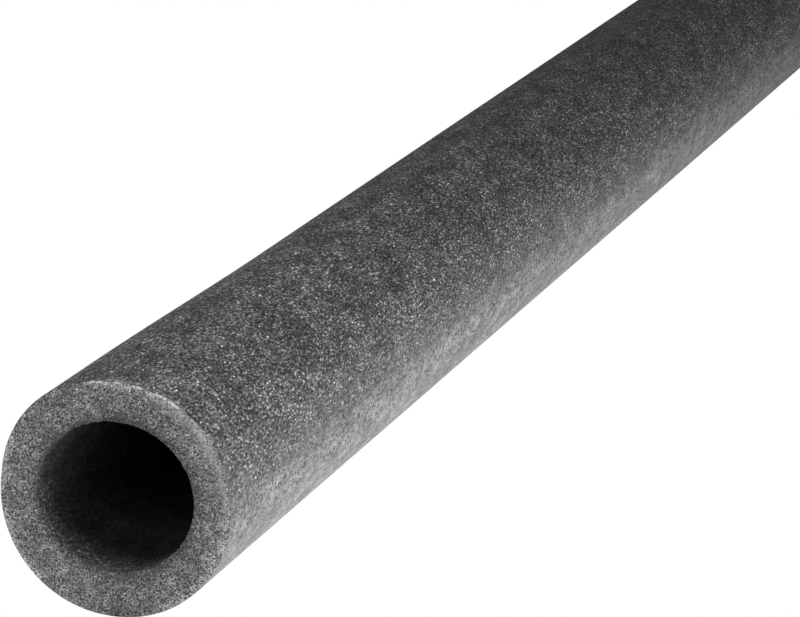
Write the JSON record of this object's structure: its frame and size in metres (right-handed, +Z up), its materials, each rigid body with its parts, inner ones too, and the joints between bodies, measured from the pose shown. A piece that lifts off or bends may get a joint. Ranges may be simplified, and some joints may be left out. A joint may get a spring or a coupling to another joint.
{
  "type": "foam pipe lagging tube",
  "caption": "Straight grey closed-cell foam tube with an open bore, slid over a heating or water pipe to insulate it.",
  "frame": {"origin": "on the floor, under the middle of the tube's length", "axes": "+Z up, +Y along the tube, +X across it; the tube lies on its side on Z = 0"},
  "size_m": [0.053, 1, 0.053],
  "materials": {
    "foam": "matt closed-cell foam with a fine grained skin"
  },
  "bodies": {
    "root": {"foam_tube": "foam"}
  },
  "joints": []
}
